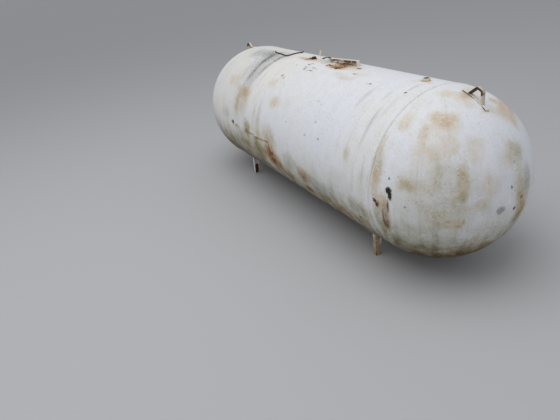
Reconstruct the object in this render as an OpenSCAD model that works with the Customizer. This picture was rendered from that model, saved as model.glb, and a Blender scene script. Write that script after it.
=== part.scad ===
// Horizontal steel pressure tank on four short legs, white paint over welded plate.
// X runs along the tank, +X is its right end, -Y its front, Z is up.
// The origin is on the ground, below the middle of the tank.

/* [Tank] */
// Outside diameter of the shell and of both heads
tank_d = 950; // [700:5:1200]
// Length of the cylinder, from girth seam to girth seam
seam_to_seam = 2100; // [1500:10:4500]
// Plate thickness of the cylinder
shell_wall = 6; // [4:0.5:12]
// Plate thickness of the round heads
head_wall = 5; // [4:0.5:12]
// Free height between the ground and the lowest line of the shell
ground_clearance = 55; // [40:5:200]

/* [Weld seams] */
// Gap between the two plate edges at the inside of a seam
root_gap = 3; // [2:0.5:5]
// Width of the weld bead that stands proud of the plates
bead_w = 15; // [10:1:24]
// Height of the weld bead over the plates
bead_h = 2.5; // [1:0.5:4]
// Place of the lengthwise seam, in degrees from the top towards the back
long_seam_angle = 62; // [45:1:90]

/* [Legs] */
// From a girth seam to the outer face of the leg's web
leg_inset = 190; // [150:5:400]
// From the tank's middle plane to the middle of a leg
leg_side = 270; // [200:5:330]
// Width of the leg's web, across the tank
leg_web_w = 47; // [40:1:90]
// Depth of the leg's flanges, along the tank
leg_flange_d = 28; // [24:1:80]
// Plate thickness of the legs
leg_wall = 5; // [4:0.5:10]
// Outer radius of the leg's two folds
leg_fold_r = 8; // [6:0.5:14]
// Height over which the flanges narrow down to the foot
leg_taper_h = 45; // [20:1:70]
// Depth of the flanges at the foot
leg_foot_d = 20; // [14:1:24]
// How much the web narrows down to the foot, on its inner side
leg_corner_cut = 12; // [4:1:16]
// Width of the doubler plate between leg and shell, along the tank
pad_len = 120; // [100:5:200]
// Width of the doubler plate around the shell
pad_girth = 130; // [110:5:220]
// Thickness of the doubler plate
pad_wall = 5; // [3:0.5:10]
// Corner radius of the doubler plate
pad_corner_r = 20; // [5:1:40]

/* [Lifting lugs] */
// Place of a lug on its head, in degrees from the top towards the end
lug_angle = 25; // [15:0.5:45]
// Turn of the left lug round the tank's axis, in degrees towards the back
left_lug_turn = 0.8; // [-6:0.1:6]
// Turn of the right lug round the tank's axis, in degrees towards the back
right_lug_turn = 4.2; // [-6:0.1:6]
// Length of the curved strap under a lug, measured on the arc
strap_len = 168; // [140:1:260]
// Width of the strap
strap_w = 24; // [20:1:50]
// Thickness of the strap
strap_wall = 7; // [4:0.5:12]
// Distance between the feet of the bent loop, at the middle of its bar
loop_base = 88; // [70:1:120]
// Length of the loop's top, between the middles of its corners
loop_top = 34; // [30:1:60]
// Height of the loop over the strap, to the middle of its bar
loop_h = 50; // [46:1:100]
// Thickness of the loop's bar
loop_bar = 11; // [8:0.5:16]
// Width of the loop's bar
loop_bar_w = 18; // [12:1:24]
// Bend radius at the middle of the bar
loop_bend_r = 13; // [10:1:18]

/* [Centre coupling] */
// Place of the coupling from the tank's middle, along the tank
centre_x = 26; // [-200:1:200]
// Place of the coupling from the crown line, towards the back
centre_y = -18; // [-40:1:40]
// Outside diameter of the coupling
centre_d = 78; // [60:1:110]
// Bore of the coupling
centre_bore = 64; // [40:1:66]
// Height of the coupling over the crown
centre_h = 28; // [15:1:60]
// Radius of the rounded outer lip
centre_lip_r = 4; // [2:0.5:6]
// Depth of the plug below the coupling's mouth
centre_plug_depth = 12; // [5:1:20]
// Side of the square head on the plug
centre_square = 24; // [12:1:30]
// Height of that square head
centre_square_h = 9; // [4:1:20]

/* [Hood remains] */
// Direction of the rail from the centre coupling, in degrees from the tank's length
rail_angle = 11; // [0:1:25]
// From the middle of the coupling to the middle of the end post
post_dist = 282; // [150:1:400]
// Side of the square end post
post_side = 14; // [8:1:30]
// Height of the end post's top over the crown
post_h = 32; // [25:1:80]
// Height of the rail's top face over the crown
rail_h = 29; // [20:1:60]
// Height of the rail's upright side
rail_web = 15; // [8:1:20]
// Width of the rail's top side, towards the back
rail_top_w = 26; // [12:1:40]
// Plate thickness of the rail
rail_wall = 4; // [3:0.5:8]
// Place of the hinge tab along the tank
tab_x = -246; // [-400:1:-150]
// Place of the hinge tab from the crown line, towards the back
tab_y = 98; // [0:1:150]
// Width of the hinge tab
tab_w = 17; // [12:1:40]
// Height of the hinge tab over the shell
tab_h = 42; // [20:1:80]
// Plate thickness of the hinge tab
tab_wall = 5; // [3:0.5:10]
// Length of the tab's foot
tab_foot = 24; // [15:1:50]

/* [Small couplings] */
// Place of the rusty stub coupling along the tank
stub_x = -150; // [-300:1:-100]
// Place of the rusty stub coupling from the crown line, towards the back
stub_y = -10; // [-40:1:40]
// Outside diameter of the stub coupling
stub_d = 38; // [30:1:60]
// Height of the stub coupling over the crown
stub_h = 6; // [4:1:40]
// Width across the flats of the six-sided plug in the stub coupling
stub_plug_af = 27; // [18:1:28]
// Height of that plug's head
stub_plug_h = 10; // [6:1:20]
// From the right girth seam to the end coupling
end_inset = 125; // [80:1:400]
// Place of the end coupling from the crown line, towards the back
end_y = 22; // [-40:1:40]
// Outside diameter of the end coupling
end_d = 42; // [30:1:60]
// Bore of the end coupling
end_bore = 28; // [15:1:30]
// Height of the end coupling over the crown
end_h = 14; // [8:1:40]
// Depth of the plug below the end coupling's mouth
end_plug_depth = 7; // [2:1:12]
// Side of the square socket in the end plug
end_socket = 12; // [8:1:15]
// How far every coupling reaches in past the inside of the shell
coupling_inner = 12; // [5:1:30]

/* [Bent rod] */
// Thickness of the bent rod that lies on the crown
rod_d = 8; // [5:0.5:16]
// Place of the rod's left end along the tank
rod_left_x = -668; // [-900:1:-600]
// Place of the rod's left end from the crown line, towards the back
rod_left_y = -41; // [-100:1:0]
// Place of the rod's back end along the tank
rod_back_x = -476; // [-590:1:-400]
// Place of the rod's back end from the crown line, towards the back
rod_back_y = 86; // [40:1:140]
// Place of the rod's corner along the tank
rod_corner_x = -446; // [-470:1:-380]
// Place of that corner from the crown line, towards the back
rod_corner_y = -59; // [-100:1:-40]
// From the corner to where the bend starts on either side
rod_bend = 24; // [12:1:40]
// How far the two ends of the rod are turned up
rod_tip_h = 8; // [0:1:20]

/* [Fits] */
// Clearance where one piece seats on another
seat = 0.3; // [0.1:0.05:0.5]
// Clearance round what passes through a hole
slip = 0.3; // [0.1:0.05:0.5]

/* [Hidden] */
tank_r = tank_d / 2;
half_len = seam_to_seam / 2;
axis_h = ground_clearance + tank_r;
crown_h = axis_h + tank_r;
end_x = half_len - end_inset;
pad_angle = asin(leg_side / (tank_r + seat + pad_wall));
pad_mid_x = half_len - leg_inset - leg_flange_d / 2;
pad_out_r = tank_r + seat + pad_wall;
strap_in_r = tank_r + seat;
strap_out_r = strap_in_r + strap_wall;
strap_span = strap_len / tank_r * 180 / PI;
round_fn = 96;
tank_fn = 180;
eps = 0.01;

white_paint = [0.86, 0.86, 0.83];
rust = [0.36, 0.22, 0.14];
tan_paint = [0.68, 0.58, 0.46];
weld_paint = [0.80, 0.79, 0.75];

// Height of the shell's outer surface over the tank's axis, at a distance from the crown line
function crown_z(y, r = tank_r) = sqrt(r * r - y * y);

// Points of an arc, from angle a to angle b
function arc(cx, cy, r, a, b, n = 8) =
    [for (i = [0 : n]) [cx + r * cos(a + (b - a) * i / n), cy + r * sin(a + (b - a) * i / n)]];

// A cylinder along the tank's axis
module along_axis(r, len) {
    translate([-len / 2, 0, axis_h])
        rotate([0, 90, 0])
            cylinder(r = r, h = len, $fn = tank_fn);
}

// Half section of a seam weld, from the root at the inner face to the bead on the outside
module seam_section(wall, fit) {
    groove = bead_w * 0.62;
    polygon(concat(
        [[-root_gap / 2 - fit, -wall - eps], [root_gap / 2 + fit, -wall - eps]],
        [[groove / 2 + fit, 0]],
        fit > 0 ? [[groove / 2 + fit, 1], [-groove / 2 - fit, 1]] : bead_top(),
        [[-groove / 2 - fit, 0]]
    ));
}

// Low rounded top of a bead, as an arc through its two toes and its crest
function bead_top() =
    let (r = (bead_w * bead_w / 4 + bead_h * bead_h) / (2 * bead_h))
    let (half = asin(bead_w / 2 / r))
    [for (i = [0 : 8]) let (a = 90 - half + i * half / 4) [r * cos(a), seat + bead_h - r + r * sin(a)]];

// The ring that a girth seam takes out of shell and head, or fills with weld
module girth_ring(x, fit) {
    translate([x, 0, axis_h])
        rotate([0, 90, 0])
            rotate_extrude($fn = tank_fn)
                translate([tank_r, 0])
                    rotate(-90)
                        seam_section(max(shell_wall, head_wall), fit);
}

// The wedge that the lengthwise seam takes out of the shell, or fills with weld
module long_wedge(fit, len) {
    translate([-len / 2, 0, axis_h])
        rotate([-long_seam_angle, 0, 0])
            translate([0, 0, tank_r])
                rotate([90, 0, 90])
                    linear_extrude(len)
                        seam_section(shell_wall, fit);
}

// A round hole through the crown for a coupling
module crown_hole(x, y, d) {
    translate([x, y, axis_h])
        cylinder(d = d + 2 * slip, h = tank_r + 100, $fn = round_fn);
}

module shell() {
    color(white_paint)
        difference() {
            along_axis(tank_r, seam_to_seam);
            along_axis(tank_r - shell_wall, seam_to_seam + 2);
            girth_ring(-half_len, seat);
            girth_ring(half_len, seat);
            long_wedge(seat, seam_to_seam + 2);
            crown_hole(centre_x, centre_y, centre_d);
            crown_hole(stub_x, stub_y, stub_d);
            crown_hole(end_x, end_y, end_d);
        }
}

// A half sphere of plate, open towards the shell
module head(side) {
    color(white_paint)
        difference() {
            translate([side * half_len, 0, axis_h])
                rotate([0, side * 90, 0])
                    rotate_extrude($fn = tank_fn)
                        head_section();
            girth_ring(side * half_len, seat);
        }
}

// Quarter ring of plate, from the seam to the pole
module head_section() {
    intersection() {
        difference() {
            circle(r = tank_r, $fn = tank_fn);
            circle(r = tank_r - head_wall, $fn = tank_fn);
        }
        square([tank_r + 1, tank_r + 1]);
    }
}

module left_head() {
    head(-1);
}

module right_head() {
    head(1);
}

module left_girth_weld() {
    color(weld_paint) girth_ring(-half_len, 0);
}

module right_girth_weld() {
    color(weld_paint) girth_ring(half_len, 0);
}

module long_seam_weld() {
    color(weld_paint) long_wedge(0, seam_to_seam - bead_w - 2);
}

// Plan of a leg: a folded channel, its web outwards and its flanges towards the middle
module leg_plan() {
    in_r = leg_fold_r - leg_wall;
    difference() {
        channel_outline(0, leg_fold_r, leg_flange_d);
        channel_outline(leg_wall, in_r, leg_flange_d + 1);
    }
}

module channel_outline(inset, fold_r, depth) {
    w = leg_web_w / 2 - inset;
    polygon(concat(
        [[-depth, -w]],
        arc(-inset - fold_r, -w + fold_r, fold_r, -90, 0),
        arc(-inset - fold_r, w - fold_r, fold_r, 0, 90),
        [[-depth, w]]
    ));
}

// What the foot keeps of the flanges, seen from the front
module foot_taper() {
    polygon([
        [-leg_foot_d, -1],
        [-leg_foot_d, 0],
        [-leg_flange_d - 1, leg_taper_h],
        [-leg_flange_d - 1, axis_h],
        [1, axis_h],
        [1, -1]
    ]);
}

// What the foot keeps of the web, seen along the tank
module foot_narrowing() {
    w = leg_web_w / 2;
    polygon([
        [leg_corner_cut - w, -1],
        [leg_corner_cut - w, 0],
        [-w - 1, leg_taper_h],
        [-w - 1, axis_h],
        [w + 1, axis_h],
        [w + 1, -1]
    ]);
}

// One leg, on the side given for each direction
module leg(side_x, side_y) {
    color(tan_paint)
        mirror([side_x < 0 ? 1 : 0, 0, 0])
            mirror([0, side_y < 0 ? 1 : 0, 0])
                difference() {
                    translate([half_len - leg_inset, leg_side, 0])
                        intersection() {
                            linear_extrude(axis_h) leg_plan();
                            translate([0, leg_web_w, 0])
                                rotate([90, 0, 0])
                                    linear_extrude(2 * leg_web_w) foot_taper();
                            translate([-leg_web_w, 0, 0])
                                rotate([90, 0, 90])
                                    linear_extrude(2 * leg_web_w) foot_narrowing();
                        }
                    along_axis(pad_out_r + seat, seam_to_seam);
                }
}

module leg_left_front() {
    leg(-1, -1);
}

module leg_left_back() {
    leg(-1, 1);
}

module leg_right_front() {
    leg(1, -1);
}

module leg_right_back() {
    leg(1, 1);
}

// Doubler plate with round corners, rolled to the shell
module pad(side_x, side_y) {
    color(white_paint)
        mirror([side_x < 0 ? 1 : 0, 0, 0])
            mirror([0, side_y < 0 ? 1 : 0, 0])
                intersection() {
                    difference() {
                        along_axis(pad_out_r, seam_to_seam);
                        along_axis(tank_r + seat, seam_to_seam + 2);
                    }
                    translate([pad_mid_x, 0, axis_h])
                        rotate([180 + pad_angle, 0, 0])
                            linear_extrude(tank_r + 50)
                                rounded_plate(pad_len, pad_girth, pad_corner_r);
                }
}

module rounded_plate(len, wid, r) {
    union() {
        square([len - 2 * r, wid], center = true);
        square([len, wid - 2 * r], center = true);
        for (sx = [-1, 1])
            for (sy = [-1, 1])
                translate([sx * (len / 2 - r), sy * (wid / 2 - r)])
                    circle(r = r, $fn = 48);
    }
}

module pad_left_front() {
    pad(-1, -1);
}

module pad_left_back() {
    pad(-1, 1);
}

module pad_right_front() {
    pad(1, -1);
}

module pad_right_back() {
    pad(1, 1);
}

// Puts a piece drawn at the top of a head's sphere in its place along the head
module on_head(side) {
    turn = side < 0 ? left_lug_turn : right_lug_turn;
    translate([side * half_len, 0, axis_h])
        rotate([-turn, 0, 0])
            rotate([0, side * lug_angle, 0])
                children();
}

// Curved strap on a head
module lug_strap(side) {
    color(white_paint)
        on_head(side)
            rotate([90, 0, 0])
                rotate([0, 0, 90 - strap_span / 2])
                    rotate_extrude(angle = strap_span, $fn = tank_fn)
                        translate([strap_in_r, -strap_w / 2])
                            square([strap_wall, strap_w]);
}

module left_lug_strap() {
    lug_strap(-1);
}

module right_lug_strap() {
    lug_strap(1);
}

// Outline of the bent loop at an offset from the middle of its bar, down to the given depth
function loop_outline(off, down) =
    let (lean = atan2(loop_h, (loop_base - loop_top) / 2))
    let (foot = loop_base / 2 + off / sin(lean) + down / tan(lean))
    let (cy = loop_h - loop_bend_r)
    let (cx = loop_base / 2 - cy / tan(lean) - loop_bend_r / sin(lean))
    let (r = loop_bend_r + off)
    concat(
        [[foot, -down]],
        arc(cx, cy, r, 90 - lean, 90),
        arc(-cx, cy, r, 90, 90 + lean),
        [[-foot, -down]]
    );

// Bent bar that stands on the strap, its feet cut to the strap's curve
module lug_loop(side) {
    color(white_paint)
        on_head(side)
            difference() {
                translate([0, loop_bar_w / 2, strap_out_r])
                    rotate([90, 0, 0])
                        linear_extrude(loop_bar_w)
                            difference() {
                                polygon(loop_outline(loop_bar / 2, 12));
                                polygon(loop_outline(-loop_bar / 2, 14));
                            }
                rotate([90, 0, 0])
                    cylinder(r = strap_out_r + seat, h = 2 * strap_w, center = true, $fn = tank_fn);
            }
}

module left_lug_loop() {
    lug_loop(-1);
}

module right_lug_loop() {
    lug_loop(1);
}

// Coupling through the crown, with a rounded lip
module coupling(x, y, d, bore, h, lip_r) {
    bottom = crown_z(abs(y) + d / 2, tank_r - shell_wall) - tank_r - coupling_inner;
    lip = min(lip_r, (d - bore) / 2 - 0.5);
    translate([x, y, crown_h])
        rotate_extrude($fn = round_fn)
            polygon(concat(
                [[bore / 2, bottom], [d / 2, bottom]],
                arc(d / 2 - lip, h - lip, lip, 0, 90, 6),
                [[bore / 2, h]]
            ));
}

// Round plug inside a coupling, with a square socket
module socket_plug(x, y, bore, top, socket) {
    deep = socket / 2;
    translate([x, y, crown_h + top])
        difference() {
            translate([0, 0, -deep - 8])
                cylinder(d = bore - 2 * slip, h = deep + 8, $fn = round_fn);
            translate([-socket / 2, -socket / 2, -deep])
                cube([socket, socket, deep + 1]);
        }
}

module centre_coupling() {
    color(white_paint)
        coupling(centre_x, centre_y, centre_d, centre_bore, centre_h, centre_lip_r);
}

// Round plug with a raised square head, below the coupling's mouth
module centre_plug() {
    top = centre_h - centre_plug_depth;
    color(white_paint)
        translate([centre_x, centre_y, crown_h + top])
            union() {
                translate([0, 0, -top - 6])
                    cylinder(d = centre_bore - 2 * slip, h = top + 6, $fn = round_fn);
                translate([-centre_square / 2, -centre_square / 2, -1])
                    cube([centre_square, centre_square, centre_square_h + 1]);
            }
}

module stub_coupling() {
    color(rust)
        coupling(stub_x, stub_y, stub_d, stub_plug_af * 0.8, stub_h, 2);
}

// Six-sided plug: its head sits on the coupling, its shank inside
module stub_plug() {
    color(rust)
        translate([stub_x, stub_y, crown_h]) {
            translate([0, 0, stub_h + seat])
                cylinder(d = stub_plug_af / cos(30), h = stub_plug_h, $fn = 6);
            translate([0, 0, -6])
                cylinder(d = stub_plug_af * 0.8 - 2 * slip, h = stub_h + seat + 7, $fn = round_fn);
        }
}

module end_coupling() {
    color(white_paint)
        coupling(end_x, end_y, end_d, end_bore, end_h, 2.5);
}

module end_plug() {
    color(rust)
        socket_plug(end_x, end_y, end_bore, end_h - end_plug_depth, end_socket);
}

// Turns a piece drawn along +X from the centre coupling into the rail's direction
module along_rail() {
    translate([centre_x, centre_y, crown_h])
        rotate([0, 0, rail_angle])
            children();
}

// Angle rail from the centre coupling to the end post, one side upright and one on top
module hood_rail() {
    start = centre_d / 2 + seat;
    stop = post_dist - post_side / 2 - seat;
    color(rust)
        along_rail()
            translate([start, 0, rail_h])
                rotate([90, 0, 90])
                    linear_extrude(stop - start)
                        rail_section();
}

module rail_section() {
    front = -post_side / 2;
    polygon([
        [front, 0],
        [front, -rail_web],
        [front + rail_wall, -rail_web],
        [front + rail_wall, -rail_wall],
        [front + rail_top_w, -rail_wall],
        [front + rail_top_w, 0]
    ]);
}

// Square post that stands on the shell, cut to its curve
module hood_post() {
    color(white_paint)
        difference() {
            along_rail()
                translate([post_dist - post_side / 2, -post_side / 2, -30])
                    cube([post_side, post_side, post_h + 30]);
            along_axis(tank_r + seat, seam_to_seam);
        }
}

// Bent plate tab: an upright with a foot along the shell
module hinge_tab() {
    turn = asin(tab_y / tank_r);
    color(white_paint)
        translate([tab_x, 0, axis_h])
            difference() {
                rotate([-turn, 0, 0])
                    translate([0, tab_wall / 2, tank_r - 2])
                        rotate([90, 0, 0])
                            linear_extrude(tab_wall)
                                tab_outline();
                rotate([0, 90, 0])
                    cylinder(r = tank_r + seat, h = 4 * tab_foot, center = true, $fn = tank_fn);
            }
}

module tab_outline() {
    top_r = tab_w / 2;
    polygon(concat(
        [[-tab_w / 2 - tab_foot, 0], [tab_w / 2, 0]],
        arc(0, tab_h + 2 - top_r, top_r, 0, 180, 12),
        [[-tab_w / 2, 12], [-tab_w / 2 - tab_foot, 8]]
    ));
}

// Middle line of the bent rod in plan, with how far each point is lifted off the shell
rod_a = [rod_left_x, rod_left_y];
rod_b = [rod_back_x, rod_back_y];
rod_c = [rod_corner_x, rod_corner_y];
rod_to_a = (rod_a - rod_c) / norm(rod_a - rod_c);
rod_to_b = (rod_b - rod_c) / norm(rod_b - rod_c);
rod_in = rod_c + rod_bend * rod_to_a;
rod_out = rod_c + rod_bend * rod_to_b;
function rod_curve(t) =
    (1 - t) * (1 - t) * rod_in + 2 * t * (1 - t) * rod_c + t * t * rod_out;
function lifted(p, lift) =
    let (r = tank_r + seat + rod_d / 2 + lift)
    [p[0], p[1] * r / tank_r, axis_h + crown_z(p[1]) * r / tank_r];
rod_line = concat(
    [lifted(rod_a + rod_d * rod_to_a, rod_tip_h)],
    [lifted(rod_a + 0.8 * rod_d * rod_to_a, 0.6 * rod_tip_h)],
    [lifted(rod_a + 0.4 * rod_d * rod_to_a, 0.2 * rod_tip_h)],
    [for (k = [0 : 3]) lifted(rod_a + (rod_in - rod_a) * k / 4, 0)],
    [for (k = [0 : 8]) lifted(rod_curve(k / 8), 0)],
    [for (k = [1 : 8]) lifted(rod_out + (rod_b - rod_out) * k / 8, 0)],
    [lifted(rod_b + 0.4 * rod_d * rod_to_b, 0.2 * rod_tip_h)],
    [lifted(rod_b + 0.8 * rod_d * rod_to_b, 0.6 * rod_tip_h)],
    [lifted(rod_b + rod_d * rod_to_b, rod_tip_h)]
);
rod_last = len(rod_line) - 1;
rod_sides = 12;

// Ring of points round the middle line at point k
function rod_ring(k) =
    let (p = rod_line[k])
    let (ahead = rod_line[min(k + 1, rod_last)] - rod_line[max(k - 1, 0)])
    let (along = ahead / norm(ahead))
    let (out_raw = [0, p[1], p[2] - axis_h])
    let (out_flat = out_raw - (out_raw * along) * along)
    let (out = out_flat / norm(out_flat))
    let (side = cross(along, out))
    [for (i = [0 : rod_sides - 1])
        let (a = 360 * i / rod_sides)
        p + rod_d / 2 * (cos(a) * out + sin(a) * side)];

module bent_rod() {
    rings = [for (k = [0 : rod_last]) rod_ring(k)];
    points = [for (ring = rings) for (p = ring) p];
    start_cap = [[for (i = [0 : rod_sides - 1]) i]];
    end_cap = [[for (i = [rod_sides - 1 : -1 : 0]) rod_last * rod_sides + i]];
    sides = [for (k = [0 : rod_last - 1])
        for (i = [0 : rod_sides - 1])
            let (j = (i + 1) % rod_sides)
            [k * rod_sides + i, (k + 1) * rod_sides + i, (k + 1) * rod_sides + j, k * rod_sides + j]];
    color(rust)
        polyhedron(points = points, faces = concat(start_cap, sides, end_cap), convexity = 4);
}

shell();
left_head();
right_head();
left_girth_weld();
right_girth_weld();
long_seam_weld();
leg_left_front();
leg_left_back();
leg_right_front();
leg_right_back();
pad_left_front();
pad_left_back();
pad_right_front();
pad_right_back();
left_lug_strap();
right_lug_strap();
left_lug_loop();
right_lug_loop();
centre_coupling();
centre_plug();
stub_coupling();
stub_plug();
end_coupling();
end_plug();
hood_rail();
hood_post();
hinge_tab();
bent_rod();
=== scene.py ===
# %% [markdown]
# An old pressure tank, step by step
#
# The object is a white gas tank of rolled steel plate that has stood outdoors for decades.
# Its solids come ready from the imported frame, at their real size and place. What is left to do
# here is the finish: chalky paint, rust that ran down from every scar, grime below the crown,
# weld beads with their ripples, and the crusts round the fittings.

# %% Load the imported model
import math
import bpy
from mathutils import Matrix, Vector


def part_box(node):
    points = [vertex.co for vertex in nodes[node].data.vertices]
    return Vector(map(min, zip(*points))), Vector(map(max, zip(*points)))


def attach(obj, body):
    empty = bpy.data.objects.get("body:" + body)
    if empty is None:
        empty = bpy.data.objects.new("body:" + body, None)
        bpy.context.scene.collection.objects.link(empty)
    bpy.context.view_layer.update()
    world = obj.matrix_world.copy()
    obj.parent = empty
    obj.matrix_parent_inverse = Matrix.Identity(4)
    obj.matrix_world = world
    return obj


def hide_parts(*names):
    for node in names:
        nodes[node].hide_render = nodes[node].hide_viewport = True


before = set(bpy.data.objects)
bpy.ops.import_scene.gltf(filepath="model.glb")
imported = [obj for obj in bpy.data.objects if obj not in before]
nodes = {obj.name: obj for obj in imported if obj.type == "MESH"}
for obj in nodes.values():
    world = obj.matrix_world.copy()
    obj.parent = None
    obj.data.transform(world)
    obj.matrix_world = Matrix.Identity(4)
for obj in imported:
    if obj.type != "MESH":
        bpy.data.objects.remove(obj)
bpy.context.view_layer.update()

# %% [markdown]
# Measure the tank before dressing it. Every stain and weld below is placed by two lengths on
# the plate: how far along the tank, and how far down from the crown. They only work if the
# radius, the height of the axis and the places of the two girth seams are read from the solids.

# %% Read the main sizes from the frame
shell_low, shell_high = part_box("shell")
weld_low, weld_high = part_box("right_girth_weld")
tank_radius = (shell_high.z - shell_low.z) / 2
axis_height = (shell_high.z + shell_low.z) / 2
crown_height = shell_high.z
seam_place = (weld_low.x + weld_high.x) / 2
bead_height = weld_high.z - crown_height
bead_width = weld_high.x - weld_low.x
print("radius", round(tank_radius, 4), "axis", round(axis_height, 4), "seam", round(seam_place, 4))

# %% [markdown]
# The camera stands at eye height off the right end and looks down along the tank, tipped a little
# to one side. Heading, pitch and roll are kept as three plain angles, because they are easier to
# correct than a matrix.

# %% Camera
camera_place = Vector((2.942, -1.850, 1.698))
camera_heading = math.radians(155.27)
camera_pitch = math.radians(-27.10)
camera_roll = math.radians(-7.65)
camera_lens = 32.2

ahead = Vector((
    math.cos(camera_pitch) * math.cos(camera_heading),
    math.cos(camera_pitch) * math.sin(camera_heading),
    math.sin(camera_pitch),
))
level_right = Vector((math.sin(camera_heading), -math.cos(camera_heading), 0))
level_up = level_right.cross(ahead)
right = level_right * math.cos(camera_roll) + level_up * math.sin(camera_roll)
up = right.cross(ahead)
turn = Matrix((right, up, -ahead)).transposed()

camera_data = bpy.data.cameras.new("camera")
camera_data.lens = camera_lens
camera_data.sensor_width = 36
camera = bpy.data.objects.new("camera", camera_data)
camera.matrix_world = Matrix.Translation(camera_place) @ turn.to_4x4()
bpy.context.scene.collection.objects.link(camera)
bpy.context.scene.camera = camera
print("eye height", round(camera_place.z, 2))

# %% [markdown]
# The floor is a plain pale sheet and the light is that of a dull day: a wide grey sky, and one
# very large soft lamp high on the right, for the brighter part of it. Hard shadows would draw
# edges that a cloudy day doesn't have.

# %% Floor and light
reach = 200.0
floor_mesh = bpy.data.meshes.new("floor")
floor_corners = [(-reach, -reach, 0), (reach, -reach, 0), (reach, reach, 0), (-reach, reach, 0)]
floor_mesh.from_pydata(floor_corners, [], [(0, 1, 2, 3)])
floor = bpy.data.objects.new("floor", floor_mesh)
bpy.context.scene.collection.objects.link(floor)

floor_paint = bpy.data.materials.new("floor_paint")
floor_paint.use_nodes = True
floor_shader = floor_paint.node_tree.nodes["Principled BSDF"]
floor_shader.inputs["Base Color"].default_value = (0.52, 0.52, 0.53, 1)
floor_shader.inputs["Roughness"].default_value = 0.9
floor_mesh.materials.append(floor_paint)

sky = bpy.data.worlds.new("dull_sky")
sky.use_nodes = True
sky_light = sky.node_tree.nodes["Background"].inputs
sky_light["Color"].default_value = (0.93, 0.96, 1.0, 1)
sky_light["Strength"].default_value = 0.50
bpy.context.scene.world = sky


def soft_lamp(name, place, aim, size, power):
    """A square lamp that looks at a point."""
    data = bpy.data.lights.new(name, "AREA")
    data.shape = "SQUARE"
    data.size = size
    data.energy = power
    lamp = bpy.data.objects.new(name, data)
    lamp.location = place
    lamp.rotation_mode = "QUATERNION"
    lamp.rotation_quaternion = (Vector(aim) - Vector(place)).to_track_quat("-Z", "Y")
    bpy.context.scene.collection.objects.link(lamp)
    print(name, "lamp:", size, "m wide,", power, "W")


soft_lamp("bright_sky", place=(0.6, -1.9, 5.5), aim=(0, 0, 0.5), size=5.5, power=146)
bpy.context.scene.view_settings.view_transform = "Standard"

# %% [markdown]
# Paint mixing needs many small nodes. To keep each line readable, one output of a node is wrapped
# as a Value, and sums and products of values are written as plain formulas: every sign in them
# adds one maths node to the tree. Numbers with three parts get the node for vectors instead.


# %% Helper: values in formulas
def feed(socket, value):
    """Links a value to a socket, or sets the socket to a plain number, vector or setting."""
    if isinstance(value, Value):
        value.tree.links.new(value.socket, socket)
    else:
        socket.default_value = value


class Value:
    """One output of a node, for use in formulas."""

    def __init__(self, tree, socket):
        self.tree = tree
        self.socket = socket

    def other(self, name):
        """Another output of the same node."""
        return Value(self.tree, self.socket.node.outputs[name])

    def worked(self, operation, *numbers):
        """The result of one maths node, plain or for vectors as the value is."""
        kind = "VectorMath" if self.socket.type in ("VECTOR", "RGBA") else "Math"
        made = self.tree.nodes.new("ShaderNode" + kind)
        made.operation = operation
        for socket, number in zip(made.inputs, numbers):
            feed(socket, number)
        return Value(self.tree, made.outputs[0])

    def __add__(self, other):
        return self.worked("ADD", self, other)

    def __sub__(self, other):
        return self.worked("SUBTRACT", self, other)

    def __rsub__(self, other):
        return self.worked("SUBTRACT", other, self)

    def __mul__(self, other):
        return self.worked("MULTIPLY", self, other)

    def __truediv__(self, other):
        return self.worked("DIVIDE", self, other)

    def __neg__(self):
        return self * -1.0

    def __abs__(self):
        return self.worked("ABSOLUTE", self)


def most(first, second):
    return first.worked("MAXIMUM", first, second)


def least(first, second):
    return first.worked("MINIMUM", first, second)


def sign(value):
    return value.worked("SIGN", value)


def angle_of(rise, run):
    return rise.worked("ARCTAN2", rise, run)


def limited(value):
    """Keeps the last sum of a formula between 0 and 1."""
    value.socket.node.use_clamp = True
    return value


# %% [markdown]
# The second helper adds the other nodes, by name. Its soft step has no clamp: a smooth step stays
# between its two ends by itself, and Cycles would put each clamp's node at the very end of the
# tree, where all the masks wait for it at once. Too many waiting values render black.


# %% Helper: nodes by name
def tone(red, green, blue):
    """A colour as it looks on a screen, 0 to 255, made linear for the shader."""
    def linear(value):
        value = value / 255
        return value / 12.92 if value <= 0.04045 else ((value + 0.055) / 1.055) ** 2.4
    return (linear(red), linear(green), linear(blue), 1)


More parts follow.
